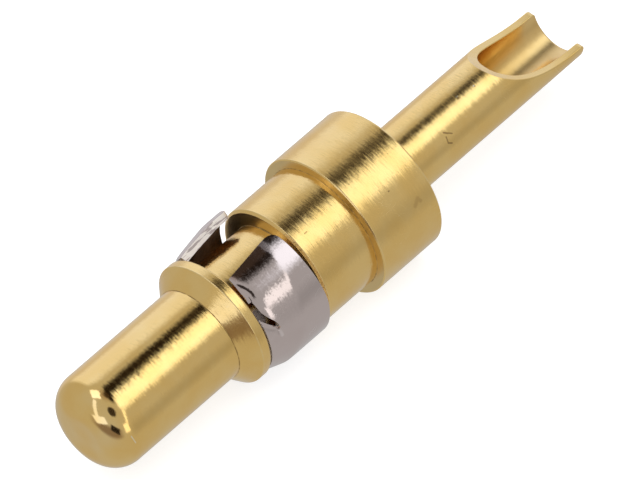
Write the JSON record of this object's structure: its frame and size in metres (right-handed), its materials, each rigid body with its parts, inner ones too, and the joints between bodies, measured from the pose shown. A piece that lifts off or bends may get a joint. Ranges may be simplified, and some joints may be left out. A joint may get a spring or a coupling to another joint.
{
  "type": "high-current contact pin",
  "caption": "Male high-current contact: rounded pin, collar, neck with a loose spring clip, stepped body with rear flange, and a wire barrel that ends in an open solder cup.",
  "frame": {"origin": "on the contact's axis at the front face of the rear flange, the face that seats in the connector", "axes": "+X along the contact from the mating tip to the wire end, out of the solder cup's mouth; +Z to the side that the solder cup opens to"},
  "size_m": [0.0232, 0.0056, 0.0056],
  "materials": {
    "gold_plating": "gold plate over turned copper alloy, bright with fine turning marks",
    "spring_steel": "bright rolled stainless spring strip, satin along the bends"
  },
  "bodies": {
    "root": {"contact_body": "gold_plating", "retention_clip": "spring_steel"}
  },
  "joints": []
}
